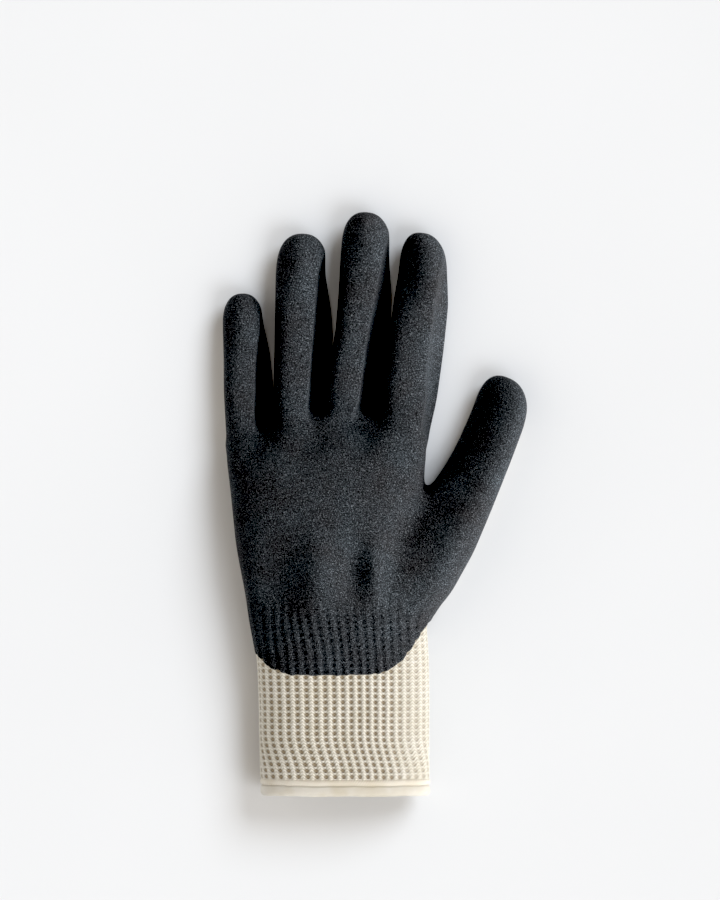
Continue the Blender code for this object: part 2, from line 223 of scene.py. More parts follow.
def smooth_max(a, b, width):
    """The higher of two distances, rounded where they meet."""
    return -smooth_min(-a, -b, width)


def ramp(value, start, end):
    """0 at start, 1 at end, eased at both."""
    t = np.clip((value - start) / (end - start), 0, 1)
    return t * t * (3 - 2 * t)


def mix(a, b, share):
    return a + (b - a) * share


def hill(x, y, place, spread):
    """A soft bump of height 1 round a place, as wide as spread says along x and y."""
    return np.exp(-(((x - place[0]) / spread[0]) ** 2) - ((y - place[1]) / spread[1]) ** 2)


def waviness(place, seed=0.0):
    """A gentle unevenness from -1 to 1 that never quite repeats."""
    slow = np.sin(place * 1.0 + seed)
    quicker = np.sin(place * 2.3 + 2 * seed) * 0.6
    quickest = np.sin(place * 4.9 + seed) * 0.3
    return (slow + quicker + quickest) / 1.9


def smoothed(stations, blur):
    """A table's columns as smooth functions of its first column."""
    rows = np.array(stations, float)
    spacing = 0.5
    places = np.arange(rows[0, 0] - 2 * blur, rows[-1, 0] + 2 * blur, spacing)
    window = np.hanning(2 * int(blur / spacing) + 3)
    window /= window.sum()
    columns = []
    for values in rows[:, 1:].T:
        line = np.pad(np.interp(places, rows[:, 0], values), len(window) // 2, mode="edge")
        columns.append(np.convolve(line, window, "valid"))

    def at(place):
        return [np.interp(place, places, column) for column in columns]

    return at


def tube_distance(a, b, t, half, height, dome, squareness, end_squareness):
    """Signed distance to a squarish tube with a domed end.

    a and b are places across and up it, as shares of its half width and half height, and t is the share
    of the dome's length that lies past its start."""
    a, b = np.abs(a), np.abs(b)
    n, m = squareness, end_squareness
    across = np.maximum((a**n + b**n) ** (1 / n), 1e-6)
    reach = np.maximum((across**m + t**m) ** (1 / m), 1e-6)
    slope = across ** (1 - n) * np.hypot(a ** (n - 1) / half, b ** (n - 1) / height)
    slope = reach ** (1 - m) * np.hypot(across ** (m - 1) * slope, t ** (m - 1) / dome)
    return (reach - 1) / np.maximum(slope, 0.3 / np.maximum(half, height))


# ---------------------------------------------------------------- the glove's form


class Stall:
    """One finger's or the thumb's stall. s runs along it from its base joint and u across it."""

    def __init__(self, name):
        joint = JOINTS[name + "_base_flex"]
        self.name = name
        self.base = np.array(joint["pos_m"][:2]) / MM
        self.across = np.array(joint["axis"][:2])
        self.along = np.array([-joint["axis"][1], joint["axis"][0]])
        self.tip = TIPS[name]
        self.dome = DOMES[name]
        self.root = STALL_STATIONS[name][0][0]
        self.shape = smoothed(STALL_STATIONS[name], 6.0)
        self.fold = smoothed(FOLDS[name], 5.0) if name in FOLDS else None
        self.sections = ["base", "tip"] if name == "thumb" else ["base", "middle", "tip"]

    def local(self, x, y):
        dx, dy = x - self.base[0], y - self.base[1]
        return dx * self.along[0] + dy * self.along[1], dx * self.across[0] + dy * self.across[1]

    def knuckle(self, section):
        """The place along s of the joint that a section turns on."""
        place = np.array(JOINTS[f"{self.name}_{section}_flex"]["pos_m"][:2]) / MM
        return float((place - self.base) @ self.along)

    def world(self, s):
        """The point on the stall's line at s, in metres."""
        x, y = self.base + s * self.along
        return x * MM, y * MM, JOINTS[self.name + "_base_flex"]["pos_m"][2]

    def distance(self, x, y, z):
        s, u = self.local(x, y)
        centre, half, low, high = self.shape(s)
        middle, height = (low + high) / 2, (high - low) / 2
        shown = ramp(s, -14, 8)
        lean = shown * (THUMB_LEAN if self.name == "thumb" else FINGER_LEAN)
        left, right = STALL_SQUARENESS
        left = mix(left, SLIM_SQUARENESS, ramp(s, self.tip - 42, self.tip - 18))
        squareness = np.where(u > centre, right, left)
        a, b = (u - centre) / half, (z - middle - lean * (u - centre)) / height
        past = np.maximum(s - self.tip + self.dome, 0) + np.maximum(self.root + self.dome - s, 0)
        tube = tube_distance(a, b, past / self.dome, half, height, self.dome, squareness, END_SQUARENESS)
        if self.name == "thumb":
            crest = centre + 0.55 * half * (1 - shown)
            inner = z - high + mix(*THUMB_FALL, shown) * (crest - u)
            return smooth_max(tube, inner * 0.9, mix(3.0, 6.0, shown))
        fold = self.fold(s)[0] * half
        hollow, foot = FLANKS[self.name]
        fall = np.clip((high - 1.5 - z) / (high - 1.5 - foot), 0, 1) ** hollow
        flank = (u - centre - mix(fold, half + 0.4, fall)) * 0.85
        crest, length = LEFT_FALLS[self.name]
        fallen = ramp(s, self.tip - length, self.tip - 0.3 * length)
        left = z - high - 3 * (1 - fallen) + LEFT_SLOPE * fallen * (centre + crest * half - u)
        return smooth_max(smooth_max(tube, left * 0.9, 4.0), flank, 0.8)


JOINTS = {joint["name"]: joint for joint in frame["joints"]}
STALLS = [Stall(name) for name in STALL_STATIONS]
hand_shape = smoothed(HAND_STATIONS, 9.0)
wrist_line = smoothed(WRIST_LINE, 3.0)


def hand_distance(x, y, z):
    centre, half, low, high = hand_shape(y)
    middle, height = (low + high) / 2, (high - low) / 2
    middle_fingers, little_finger = hill(x, 0, (-14, 0), (20, 1)), ramp(x, -38, -50)
    end = HAND_TOP + 3.0 * middle_fingers - 2.5 * little_finger
    past = np.maximum(y - end + HAND_DOME, 0) / HAND_DOME
    a, b = (x - centre) / half, (z - middle) / height
    return tube_distance(a, b, past, half, height, HAND_DOME, PALM_SQUARENESS, END_SQUARENESS)


def palm_relief(x, y, z):
    """How far the palm's soft hollows and swells lie below the plain form."""
    raised = sum(height * hill(x, y, place, spread) for height, place, spread in PALM_SWELLS)
    sunk = sum(depth * hill(x, y, place, spread) for depth, place, spread in PALM_HOLLOWS)
    slant = x - VALLEY_LEAN * (y - 30)
    for valley, depth in FINGER_VALLEYS:
        sunk = sunk + depth * hill(slant, y, (valley, 26), (6, 9))
    return (sunk - raised) * ramp(z, *RELIEF_HEIGHTS)


def dents(x, y, z):
    """How far the whole form, stalls and fillets included, is pressed in."""
    pressed = sum(
        depth * hill(x - lean * (y - start), y, place, spread) for depth, lean, start, place, spread in DENTS
    )
    return pressed * ramp(z, *DENT_HEIGHTS)


def form_distance(points):
    """Signed distance to the coated outline of the whole glove, before it is set down on the table."""
    x, y, z = points.T
    palm = hand_distance(x, y, z) + palm_relief(x, y, z)
    total = palm.copy()
    for stall in STALLS:
        s, u = stall.local(x, y)
        near = (s > stall.root - STALL_MARGIN) & (s < stall.tip + STALL_MARGIN) & (np.abs(u) < STALL_REACH)
        tube = stall.distance(x[near], y[near], z[near])
        fillet = FILLETS[stall.name]
        if stall.name == "thumb":
            fillet = mix(fillet, THUMB_FILLET, ramp(z[near], *FILLET_HEIGHTS))
        total[near] = np.minimum(total[near], smooth_min(palm[near], tube, fillet))
    return total + dents(x, y, z)


def tip_wrap(points):
    """How far a point lies past the line where the coating wraps round a stall's back, in mm."""
    x, y, z = points.T
    reach = np.full(len(x), NO_WRAP)
    for stall in STALLS:
        s, u = stall.local(x, y)
        line = stall.tip - TIP_WRAP + np.clip(SIDE_LINE - z, 0, SIDE_LINE) * 1.2
        on_stall = (np.abs(u) < 16) & (s > 0)
        reach[on_stall] = np.maximum(reach[on_stall], (s - line)[on_stall])
    return reach


def side_line(x, y):
    """Height of the coating's edge: low between the fingers and on the index's flank."""
    between = ramp(y, 20, 27) * ramp(x, -60, -55) * ramp(x, 16, 11)
    s, u = STALLS[0].local(x, y)
    flank = ramp(u, 3, 6) * ramp(u, 22, 17) * ramp(s, -36, -28) * ramp(s, 66, 60)
    return SIDE_LINE - SIDE_DROP * np.maximum(between, flank)


def coat_reach(points, ground=None):
    """How far inside the coated area a point lies, in mm, and below 0 outside it.

    ground holds the points on the knit under them, where they differ."""
    x, y, z = points.T
    line = side_line(x, y)
    side = z - line * (1 + 0.08 * waviness(y / 3.0 + x / 5.0))
    thin_foot = form_distance(points) + 1.2 - 2 * (line - 1)
    side = smooth_max(np.maximum(side, thin_foot), tip_wrap(points), 3.0)
    ribs, courses = rib_coordinates(points if ground is None else ground)
    notch = 0.3 * pit_depth(ribs, courses) + 0.25 * waviness(x / 1.7, 1.0)
    wrist = y - wrist_line(x)[0] - notch
    return smooth_min(side, wrist, 3.0)


def table_height(points):
    """How high above the table the knit's outer face ends: ribs and wrapped tips stand on it instead."""
    ribbed = ramp(points[:, 1], RIB_END + 2, RIB_END - 4)
    wrapped = ramp(tip_wrap(points), -2.5, 0.5)
    return TABLE_GAP + SKIN * np.maximum(ribbed, wrapped)


def coat_distance(points):
    return smooth_max(form_distance(points), TABLE_GAP - points[:, 2], FOOT_FILLET)


def knit_distance(points):
    return smooth_max(form_distance(points) + SKIN, table_height(points) - points[:, 2], FOOT_FILLET)


def lining_distance(points):
    floor = TABLE_GAP + WALL + SKIN
    return smooth_max(form_distance(points) + SKIN + WALL, floor - points[:, 2], FOOT_FILLET)


def normals_of(points, distance, reach=0.25):
    """The outward direction of a distance field at each point."""
    slopes = [distance(points + reach * unit) - distance(points - reach * unit) for unit in np.eye(3)]
    normals = np.stack(slopes, 1)
    return normals / np.maximum(np.linalg.norm(normals, axis=1), 1e-9)[:, None]


# ---------------------------------------------------------------- the cuff's ribs


def ring_radius(x, z, y, angle, distance, halvings=17):
    """How far out from the line (x, z) a distance field crosses zero, at places y and angles round it."""
    inner, outer = np.zeros(y.shape), np.full(y.shape, CUFF_REACH)
    for _ in range(halvings):
        radius = (inner + outer) / 2
        points = np.stack([x + radius * np.cos(angle), y, z + radius * np.sin(angle)], -1)
        outside = distance(points.reshape(-1, 3)).reshape(y.shape) > 0
        outer = np.where(outside, radius, outer)
        inner = np.where(outside, inner, radius)
    return (inner + outer) / 2


def ring_centre(y):
    centre, _, low, high = hand_shape(y)
    return centre, (low + high) / 2


def measured_rings():
    """The share of the way round the cuff at each angle, from the middle of its underside, ring by ring."""
    rows, angles = np.meshgrid(RING_PLACES, RING_ANGLES, indexing="ij")
    x, z = ring_centre(rows)
    radius = ring_radius(x, z, rows, angles, knit_distance)
    across, up = radius * np.cos(angles), radius * np.sin(angles)
    steps = np.hypot(np.diff(across, axis=1), np.diff(up, axis=1))
    travelled = np.pad(np.cumsum(steps, axis=1), ((0, 0), (1, 0)))
    return travelled / travelled[:, -1:]


def rib_number(share, y):
    """Which rib a place lies on: whole numbers are crests and halves are the gaps between them."""
    turn = 2 * math.pi * share
    uneven = sum(size * np.sin(times * turn + phase) for size, times, phase in RIB_DRIFT)
    twist = RIB_TWIST * ramp(y, TWIST_START, THREAD_TOP)
    return RIBS * (share + uneven) + twist + 0.2


def index_of(value, spaced):
    """The index of a value in an evenly spaced list, between its entries and never past its last gap."""
    return np.clip((value - spaced[0]) / (spaced[1] - spaced[0]), 0, len(spaced) - 1.001)


def rib_coordinates(points):
    """Rib and course numbers of points on or near the cuff."""
    x, y, z = points.T
    centre_x, centre_z = ring_centre(y)
    angle = np.arctan2(z - centre_z, x - centre_x)
    angle = np.where(angle < RING_ANGLES[0], angle + 2 * math.pi, angle)
    row, column = index_of(y, RING_PLACES), index_of(angle, RING_ANGLES)
    i, j = row.astype(int), column.astype(int)
    below = mix(RING_SHARES[i, j], RING_SHARES[i, j + 1], column - j)
    above = mix(RING_SHARES[i + 1, j], RING_SHARES[i + 1, j + 1], column - j)
    return rib_number(mix(below, above, row - i), y), course_number(x, y)


def course_number(x, y):
    return (y - THREAD_TOP + 0.25 * waviness(x / 11.0)) / COURSE + 0.1


def off_centre(number):
    """How far a number is from the nearest whole one, 0 to 0.5."""
    return np.abs(number - np.round(number))


def pit_depth(ribs, courses):
    """1 in the middle of a pit, between two ribs and two rungs, and 0 on them."""
    return ramp(off_centre(ribs), 0.18, 0.36) * ramp(off_centre(courses), 0.1, 0.3)


def rib_height(ribs, courses):
    """Height of the knit over the cuff's ground, in mm: round cords up it and lower rungs across it."""
    cord = ramp(off_centre(ribs), 0.46, 0.08) * (0.93 + 0.07 * np.cos(2 * math.pi * courses))
    rung = ramp(off_centre(courses), 0.44, 0.1)
    return RIB_RELIEF * smooth_max(cord, 0.6 * rung, 0.2)


RING_PLACES = np.arange(HEM_END - 2, -60, 4.0)  # above the last ring the ribs run straight on
RING_ANGLES = np.linspace(-math.pi / 2, 1.5 * math.pi, 361)
RING_SHARES = measured_rings()

# ---------------------------------------------------------------- meshes


class Skin:
    """A mesh in the making: points in mm, quads, normals and what its material reads at each point."""

    def __init__(self, points, quads, weave, pit=None, normals=None):
        self.points = points
        self.quads = quads
        self.weave = weave
        self.pit = np.zeros(len(points)) if pit is None else pit
        self.normals = vertex_normals(points, quads) if normals is None else normals

    def cut(self, keep):
        """The part of the skin whose quads are kept."""
        used, quads = np.unique(self.quads[keep], return_inverse=True)
        quads = quads.reshape(-1, 4)
        return Skin(self.points[used], quads, self.weave[used], self.pit[used], self.normals[used])

    def centres(self):
        return self.points[self.quads].mean(1)


def joined(skins):
    """Several skins as one."""
    offsets = np.cumsum([0] + [len(skin.points) for skin in skins])
    quads = np.concatenate([skin.quads + offset for skin, offset in zip(skins, offsets)])
    points, weave, pit, normals = (
        np.concatenate([getattr(skin, field) for skin in skins])
        for field in ("points", "weave", "pit", "normals")
    )
    return Skin(points, quads, weave, pit, normals)


def vertex_normals(points, quads):
    corners = points[quads]
    facing = np.cross(corners[:, 2] - corners[:, 0], corners[:, 3] - corners[:, 1])
    normals = np.zeros_like(points)
    for corner in quads.T:
        for axis in range(3):
            normals[:, axis] += np.bincount(corner, facing[:, axis], len(points))
    return normals / np.maximum(np.linalg.norm(normals, axis=1), 1e-12)[:, None]


def grid_axes(step):
    low, high = np.array(CAD_BOX[0]) / MM - 4, np.array(CAD_BOX[1]) / MM + 4
    return [np.arange(start, end, step) for start, end in zip(low, high)]


def grid_values(axes, distance):
    """A distance field on a grid, worked out in slabs along y."""
    xs, ys, zs = axes
    slabs = []
    for rows in np.array_split(ys, 12):
        points = np.stack(np.meshgrid(xs, rows, zs, indexing="ij"), -1)
        slabs.append(distance(points.reshape(-1, 3)).reshape(points.shape[:3]))
    return np.concatenate(slabs, axis=1)


def surface_net(axes, values):
    """The surface where a grid of distances is zero: a point in each cell it crosses, and outward quads."""
    cells = np.array(values.shape) - 1
    strides = np.array([cells[1] * cells[2], cells[2], 1])
    sums, hits = np.zeros((cells.prod(), 3)), np.zeros(cells.prod())
    quads = []
    for axis in range(3):
        along, side, other = (np.roll(np.eye(3, dtype=int), axis + turn, axis=1)[0] for turn in range(3))
        first = values[tuple(slice(0, n - d) for n, d in zip(values.shape, along))]
        second = values[tuple(slice(d, n) for n, d in zip(values.shape, along))]
        places = np.argwhere((first < 0) != (second < 0))
        a, b = first[tuple(places.T)], second[tuple(places.T)]
        crossings = places + (a / (a - b))[:, None] * along
        corners = [places, places - side, places - side - other, places - other]
        ids = np.stack([corner @ strides for corner in corners], 1)
        for corner in ids.T:
            hits += np.bincount(corner, minlength=len(hits))
            for k in range(3):
                sums[:, k] += np.bincount(corner, crossings[:, k], len(hits))
        quads.append(np.where((a < 0)[:, None], ids, ids[:, ::-1]))
    used, quads = np.unique(np.concatenate(quads), return_inverse=True)
    start, step = np.array([axis[0] for axis in axes]), axes[0][1] - axes[0][0]
    return start + step * sums[used] / hits[used][:, None], quads.reshape(-1, 4)


def settled(points, quads, distance, rounds=3):
    """The points evened out along the surface and drawn back on to it."""
    starts = quads.ravel()
    ends = np.roll(quads, -1, axis=1).ravel()
    count = np.bincount(starts, minlength=len(points))[:, None]
    for _ in range(rounds):
        means = np.stack([np.bincount(starts, points[ends, k], len(points)) for k in range(3)], 1) / count
        points = mix(points, means, 0.6)
        points = points - distance(points)[:, None] * normals_of(points, distance)
    return points


def net_of(distance, step):
    axes = grid_axes(step)
    points, quads = surface_net(axes, grid_values(axes, distance))
    points = settled(points, quads, distance)
    return points, quads, normals_of(points, distance)


def weave_of(points):
    """Where each point lies on the knit: mm across its columns and mm up them, square to each stall."""
    x, y, z = points.T
    across, up = x - hand_shape(y)[0], y.copy()
    regions = region_of(points)
    for index, stall in enumerate(STALLS):
        s, u = stall.local(x, y)
        on_stall = regions >= 10 * (index + 1)
        across[on_stall] = u[on_stall]
        up[on_stall] = s[on_stall]
    return np.stack([across + np.clip(across / 3, -1, 1) * z, up, z], 1)


def region_of(points):
    """The piece of each point: 0 is the hand, and 10, 11, 12, 20 ... are the stalls' sections."""
    x, y, _ = points.T
    regions = np.zeros(len(points), int)
    for index, stall in enumerate(STALLS):
        s, u = stall.local(x, y)
        centre, half, _, _ = stall.shape(s)
        on_stall = (s > BORDERS[stall.name][0]) & (np.abs(u - centre) < half + 1.3) & (s < stall.tip + 9)
        section = sum((s > border).astype(int) for border in BORDERS[stall.name][1:])
        regions[on_stall] = 10 * (index + 1) + section[on_stall]
    return regions


# ---------------------------------------------------------------- the skins


def coat_skin():
    """The dipped coating of the palm and the stalls. It thins at its edge and sinks between the ribs."""
    points, quads, normals = net_of(coat_distance, STEP)
    ground = points - SKIN * normals
    reach = coat_reach(points, ground)
    ribs, courses = rib_coordinates(ground)
    ribbed = ramp(points[:, 1], RIB_END, RIB_END - 15)
    soft = 0.84 + 0.1 * ramp(off_centre(ribs), 0.5, 0.05) - 0.42 * pit_depth(ribs, courses)
    relief = mix(rib_height(ribs, courses), soft, ramp(reach, 0.5, 4.5))
    thickness = mix(-0.35, SKIN - 0.4 * ribbed, ramp(reach, -0.6, 0.4))
    points = points + normals * (ribbed * relief + thickness - SKIN)[:, None]
    skin = Skin(points, quads, weave_of(points))
    return skin.cut(reach[quads].max(1) > -1.0)


def knit_skin():
    """The bare plain knit of the hand's back and the stalls' undersides."""
    points, quads, _ = net_of(knit_distance, STEP)
    reach = coat_reach(points)
    skin = Skin(points, quads, weave_of(points))
    return skin.cut((reach[quads].min(1) < 1.6) & (points[quads][:, :, 1].mean(1) > RIB_END - 3.5))


def lining_skin():
    """The inside of the knit, from the cuff's opening to the tips."""
    points, quads, _ = net_of(lining_distance, LINING_STEP)
    skin = Skin(points, quads[:, ::-1], weave_of(points))
    return skin.cut(points[quads][:, :, 1].mean(1) > HEM_END + 3)


def ring_grid(rows, columns, distance):
    """Points and normals on the cuff's ground: rows up it and columns evenly spaced round it."""
    shares = np.arange(columns) / columns
    angles = []
    for y in rows:
        row = index_of(y, RING_PLACES)
        i = int(row)
        angles.append(np.interp(shares, mix(RING_SHARES[i], RING_SHARES[i + 1], row - i), RING_ANGLES))
    angles = np.array(angles)
    y = np.repeat(np.array(rows, float)[:, None], columns, 1)
    x, z = ring_centre(y)
    radius = ring_radius(x, z, y, angles, distance)
    points = np.stack([x + radius * np.cos(angles), y, z + radius * np.sin(angles)], -1).reshape(-1, 3)
    return points, normals_of(points, distance), np.tile(shares, len(rows))


def ring_quads(rows, columns):
    """Outward quads of a grid that closes round the cuff."""
    here = np.arange(rows * columns).reshape(rows, columns)
    beside = np.roll(here, -1, axis=1)
    return np.stack([here[:-1], here[1:], beside[1:], beside[:-1]], -1).reshape(-1, 4)


def rib_skin():
    """The ribbed knit of the cuff, in real relief."""
    spacing, per_rib = ((0.37, 11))
    rows = np.arange(THREAD_TOP - 2, RIB_END, spacing)
    points, normals, shares = ring_grid(rows, RIBS * per_rib, knit_distance)
    reach = coat_reach(points)
    y = points[:, 1]
    ribs, courses = rib_number(shares, y), course_number(points[:, 0], y)
    closed = ramp(points[:, 0], 4, 17)
    height = rib_height(ribs, courses) * ramp(y, RIB_END - 2, RIB_END - 9) * (1 - 0.3 * closed)
    height = height * ramp(y, THREAD_TOP - 0.6, THREAD_TOP + 0.5)
    height = height + 0.2 - 0.8 * ramp(y, RIB_END - 3.5, RIB_END)
    shown = ramp(y, RIB_END - 3, RIB_END - 9)
    weave = np.stack([ribs, courses, shown], 1)
    quads = ring_quads(len(rows), RIBS * per_rib)
    # The pit mask sets where the rib material paints shade in the pits; the shade is weaker towards +x,
    # where the ribs also stand lower.
    pit = pit_depth(ribs, courses) * shown * (1 - 0.5 * closed)
    skin = Skin(points + normals * height[:, None], quads, weave, pit)
    return skin.cut(reach[quads].min(1) < 1.6)


def strip_skin(profile):
    """A strip sewn round the cuff's end. profile holds its y and its height off the cuff's ground."""
    columns = RIBS * 12
    places = np.array(profile, float)
    turns = np.linspace(0, len(places) - 1, 3 * len(places))
    rows, lifts = (np.interp(turns, np.arange(len(places)), column) for column in eased(places).T)
    points, normals, shares = ring_grid(rows, columns, knit_distance)
    lift = np.repeat(lifts, columns)
    points = points + normals * lift[:, None]
    points[:, 1] += 0.18 * waviness(shares * 41)
    points[:, 2] = np.maximum(points[:, 2], 0.04)
    around = STRIP_PATTERN * shares
    along = np.repeat(np.cumsum(np.hypot(np.gradient(rows), np.gradient(lifts))), columns)
    quads = ring_quads(len(rows), columns)
    return Skin(points, quads, np.stack([around, along, shares * 0], 1))


def eased(profile):
    """A profile's points with their corners eased."""
    points = profile.copy()
    points[1:-1] = profile[1:-1] * 0.7 + (profile[:-2] + profile[2:]) * 0.15
    return points


# ---------------------------------------------------------------- materials


class Finish:
    """A material in the making, with short ways to add its nodes."""

    def __init__(self, name, roughness, specular=0.5, sheen=0.0):
        self.material = bpy.data.materials.new(name)
        self.material.use_nodes = True
        self.tree = self.material.node_tree
        self.shader = self.tree.nodes["Principled BSDF"]
        self.shader.inputs["Roughness"].default_value = roughness
        self.shader.inputs["Specular IOR Level"].default_value = specular
        self.shader.inputs["Sheen Weight"].default_value = sheen
        self.shader.inputs["Sheen Roughness"].default_value = 0.5

    def add(self, kind, *values, **settings):
        node = self.tree.nodes.new(kind)
        for key, value in settings.items():
            setattr(node, key, value)
        for socket, value in zip(node.inputs, values):
            self.feed(socket, value)
        return node

    def feed(self, socket, value):
        if isinstance(value, bpy.types.NodeSocket):
            self.tree.links.new(value, socket)
        elif value is not None:
            socket.default_value = value

    def attribute(self, name):
        return self.add("ShaderNodeAttribute", attribute_name=name)

    def split(self, vector):
        return self.add("ShaderNodeSeparateXYZ", vector).outputs

    def math(self, operation, a, b=None, c=None):
        return self.add("ShaderNodeMath", a, b, c, operation=operation).outputs[0]

    def noise(self, vector, scale, detail=2.0, roughness=0.5):
        node = self.add("ShaderNodeTexNoise")
        self.feed(node.inputs["Vector"], vector)
        self.feed(node.inputs["Scale"], scale)
        self.feed(node.inputs["Detail"], detail)
        self.feed(node.inputs["Roughness"], roughness)
        return node.outputs["Fac"]

    def stops(self, factor, stops):
        """A colour that runs through stops of (place, linear colour)."""
        node = self.add("ShaderNodeValToRGB", factor)
        elements = node.color_ramp.elements
        while len(elements) < len(stops):
            elements.new(0.5)
        for element, (place, colour) in zip(elements, stops):
            element.position = place
            element.color = (*colour, 1)
        return node.outputs["Color"]

    def blend(self, share, a, b, mode="MIX"):
        """Two colours mixed. The sockets are a Mix node's own ones for colours."""
        node = self.add("ShaderNodeMix", data_type="RGBA", blend_type=mode)
        self.feed(node.inputs[0], share)
        self.feed(node.inputs[6], a)
        self.feed(node.inputs[7], b)
        return node.outputs[2]

    def tinted(self, colour, factor, stops):
        """A colour multiplied by one that runs through stops."""
        return self.blend(1.0, colour, self.stops(factor, stops), "MULTIPLY")

    def bump(self, height, depth, under=None):
        """A bump of that depth in mm, on top of another one."""
        node = self.add("ShaderNodeBump")
        self.feed(node.inputs["Height"], height)
        self.feed(node.inputs["Distance"], depth * MM)
        self.feed(node.inputs["Normal"], under)
        return node.outputs["Normal"]

    def done(self, colour, normal=None):
        self.feed(self.shader.inputs["Base Color"], colour)
        self.feed(self.shader.inputs["Normal"], normal)
        return self.material


def wave(finish, value):
    """A shader value that swings from 0 to 1 and back once for each whole number."""
    swing = finish.math("COSINE", finish.math("MULTIPLY", value, 2 * math.pi))
    return finish.math("MULTIPLY_ADD", swing, 0.5, 0.5)


def greys(low, high):
    """Stops that run from one grey at 0.3 to another at 0.6."""
    return [(0.3, (low,) * 3), (0.6, (high,) * 3)]


def coating_material():
    """Sandy nitrile: nearly black, with a grain of about a millimetre and a finer one on it; its brightest
    bluish specks are painted glints.
    """
    finish = Finish("sandy nitrile", roughness=0.6, specular=0.25)
    place = finish.attribute("rest").outputs["Vector"]
    clumps = finish.noise(place, 2.1, 2.0, 0.6)
    grains = finish.noise(place, 3.6, 2.0, 0.6)
    patches = finish.noise(place, 0.06, 2.0)
    grain = finish.math("MULTIPLY_ADD", clumps, 0.6, finish.math("MULTIPLY", grains, 0.4))
    # The grain's darker tones are the coating's own; its brightest, bluish specks are a painted highlight
    # that stands for glints.
    colour = finish.stops(grain, [
        (0.36, (0.012, 0.012, 0.012)), (0.46, (0.035, 0.037, 0.040)), (0.54, (0.080, 0.089, 0.099)),
        (0.6, (0.185, 0.206, 0.228)), (0.66, (0.41, 0.45, 0.49)),
    ])
    colour = finish.tinted(colour, patches, [(0.3, (0.86, 0.81, 0.8)), (0.7, (1.1, 1.15, 1.18))])
    normal = finish.bump(clumps, 0.8)
    normal = finish.bump(grains, 0.35, normal)
    return finish.done(colour, normal)


def rib_material():
    """Cream yarn of the cuff: slanted strands on the cords, and pits darkened to brown by painted shade,
    with a small cross of yarn.
    """
    finish = Finish("rib yarn", roughness=0.85, specular=0.25, sheen=0.25)
    weave = finish.split(finish.attribute("weave").outputs["Vector"])
    place = finish.attribute("rest").outputs["Vector"]
    pit = finish.attribute("pit").outputs["Fac"]
    crest = finish.math("ABSOLUTE", finish.math("SUBTRACT", finish.math("FRACT", weave[0]), 0.5))
    climb = finish.math("MULTIPLY", weave[1], 2.0)
    strands = wave(finish, finish.math("SUBTRACT", climb, finish.math("MULTIPLY", crest, 2.6)))
    fuzz = finish.noise(place, 3.0, 3.0, 0.7)
    patches = finish.noise(place, 0.12, 2.0)
    yarn = finish.stops(strands, [
        (0.0, (0.62, 0.575, 0.48)), (0.4, (0.82, 0.785, 0.70)), (1.0, (0.86, 0.832, 0.77)),
    ])
    yarn = finish.tinted(yarn, patches, [(0.3, (0.93, 0.92, 0.88)), (0.7, (1.0, 1.0, 1.0))])
    down_cross = wave(finish, finish.math("ADD", weave[0], weave[1]))
    up_cross = wave(finish, finish.math("SUBTRACT", weave[0], weave[1]))
    cross = finish.math("MAXIMUM", down_cross, up_cross)
    # Painted shade: the pits darken to brown, and the cross of yarn in them is a little lighter.
    pit_shade = finish.stops(cross, [(0.72, (0.145, 0.10, 0.058)), (0.98, (0.43, 0.36, 0.255))])
    colour = finish.blend(finish.math("POWER", pit, 0.8), yarn, pit_shade)
    colour = finish.tinted(colour, fuzz, greys(0.86, 1.04))
    normal = finish.bump(strands, 0.4)
    normal = finish.bump(fuzz, 0.12, normal)
    return finish.done(colour, normal)


def knit_material():
    """Fine plain knit: columns of V-shaped stitches, with painted brown shade in the gaps between them."""
    finish = Finish("plain knit", roughness=0.88, specular=0.2, sheen=0.25)
    weave = finish.split(finish.attribute("weave").outputs["Vector"])
    place = finish.attribute("rest").outputs["Vector"]
    wale = finish.math("MULTIPLY", weave[0], 1 / STITCH_WIDTH)
    course = finish.math("MULTIPLY", weave[1], 1 / STITCH_HEIGHT)
    across = finish.math("ABSOLUTE", finish.math("SUBTRACT", finish.math("FRACT", wale), 0.5))
    leg = wave(finish, finish.math("SUBTRACT", course, finish.math("MULTIPLY", across, 1.7)))
    side = finish.math("ABSOLUTE", finish.math("SINE", finish.math("MULTIPLY", wale, 2 * math.pi)))
    yarn = finish.math("MULTIPLY_ADD", leg, 0.6, 0.4)
    stitch = finish.math("MULTIPLY", finish.math("POWER", side, 0.6), yarn)
    fuzz = finish.noise(place, 3.0, 3.0, 0.7)
    patches = finish.noise(place, 0.08, 2.0)
    # Painted shade: the colour darkens to brown where stitch is low, in the gaps between the columns and the
    # legs.
    colour = finish.stops(stitch, [
        (0.0, (0.30, 0.235, 0.15)), (0.35, (0.66, 0.60, 0.49)), (0.9, (0.86, 0.81, 0.71)),
    ])
    colour = finish.tinted(colour, patches, [(0.3, (0.92, 0.91, 0.88)), (0.7, (1.0, 1.0, 1.0))])
    colour = finish.tinted(colour, fuzz, greys(0.88, 1.03))
    normal = finish.bump(stitch, 0.45)
    normal = finish.bump(fuzz, 0.1, normal)
    return finish.done(colour, normal)


def tape_material(name, light, dark, pitch):
    """Woven tape with a fine diagonal twill, which repeats every pitch mm."""
    finish = Finish(name, roughness=0.85, specular=0.2, sheen=0.2)
    weave = finish.split(finish.attribute("weave").outputs["Vector"])
    place = finish.attribute("rest").outputs["Vector"]
    slant = finish.math("ADD", weave[0], finish.math("MULTIPLY", weave[1], 0.75))
    twill = wave(finish, finish.math("MULTIPLY", slant, 1 / pitch))
    fuzz = finish.noise(place, 2.5, 3.0, 0.7)
    stains = finish.noise(place, 0.1, 2.0)
    colour = finish.stops(twill, [(0.0, dark), (0.7, light)])
    colour = finish.tinted(colour, stains, [(0.3, (0.88, 0.85, 0.78)), (0.6, (1.0, 1.0, 1.0))])
    normal = finish.bump(twill, 0.12)
    normal = finish.bump(fuzz, 0.1, normal)
    return finish.done(colour, normal)


